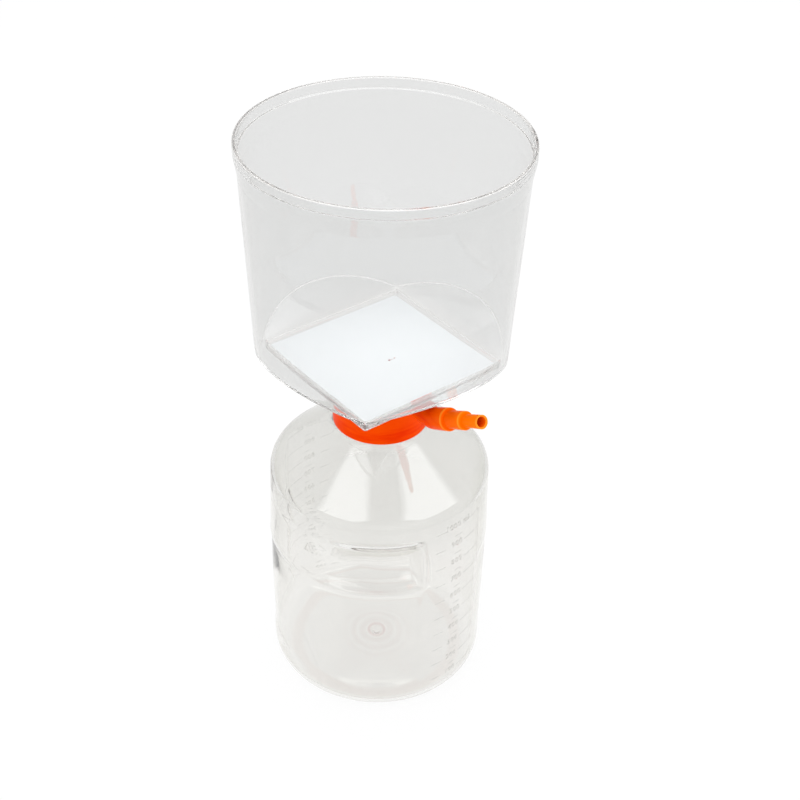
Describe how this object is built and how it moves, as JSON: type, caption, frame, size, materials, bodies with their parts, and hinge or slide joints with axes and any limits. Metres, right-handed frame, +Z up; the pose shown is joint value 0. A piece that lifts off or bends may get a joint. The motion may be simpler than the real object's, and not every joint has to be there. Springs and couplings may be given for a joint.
{
  "type": "vacuum filtration unit",
  "caption": "Bottle-top vacuum filter: a clear round funnel with a square membrane well, joined by an orange collar with a stepped hose connector to a clear receiver bottle.",
  "frame": {"origin": "centre of the bottle's foot, on the plane that it stands on", "axes": "+Z up along the axis of the bottle and funnel; +X towards a corner of the square membrane; the hose connector points half-way between +X and -Y"},
  "size_m": [0.128, 0.128, 0.2938],
  "materials": {
    "bottle_clear": "clear, polished, slightly warm where the wall is thick",
    "funnel_clear": "clear, polished",
    "base_clear": "clear, as moulded",
    "adapter_orange": "opaque orange, satin",
    "membrane_white": "matt white porous sheet",
    "seal": "matt, soft"
  },
  "bodies": {
    "bottle": {"receiver_bottle": "bottle_clear"},
    "neck_seal": {"neck_gasket": "seal"},
    "filter_unit": {"neck_adapter": "adapter_orange", "support_base": "base_clear", "membrane": "membrane_white", "filter_funnel": "funnel_clear"}
  },
  "joints": [
    {"name": "neck_lift", "type": "slide", "parent": "bottle", "child": "neck_seal", "axis": [0, 0, 1], "range_m": [0, 0.0063]},
    {"name": "neck_turn", "type": "hinge", "parent": "neck_seal", "child": "filter_unit", "pos_m": [0, 0, 0.156], "axis": [0, 0, 1], "range_deg": [0, 540]}
  ],
  "couplings": [
    {"joint": "neck_lift", "follows": "neck_turn", "m_per_rad": 0.00066845}
  ]
}
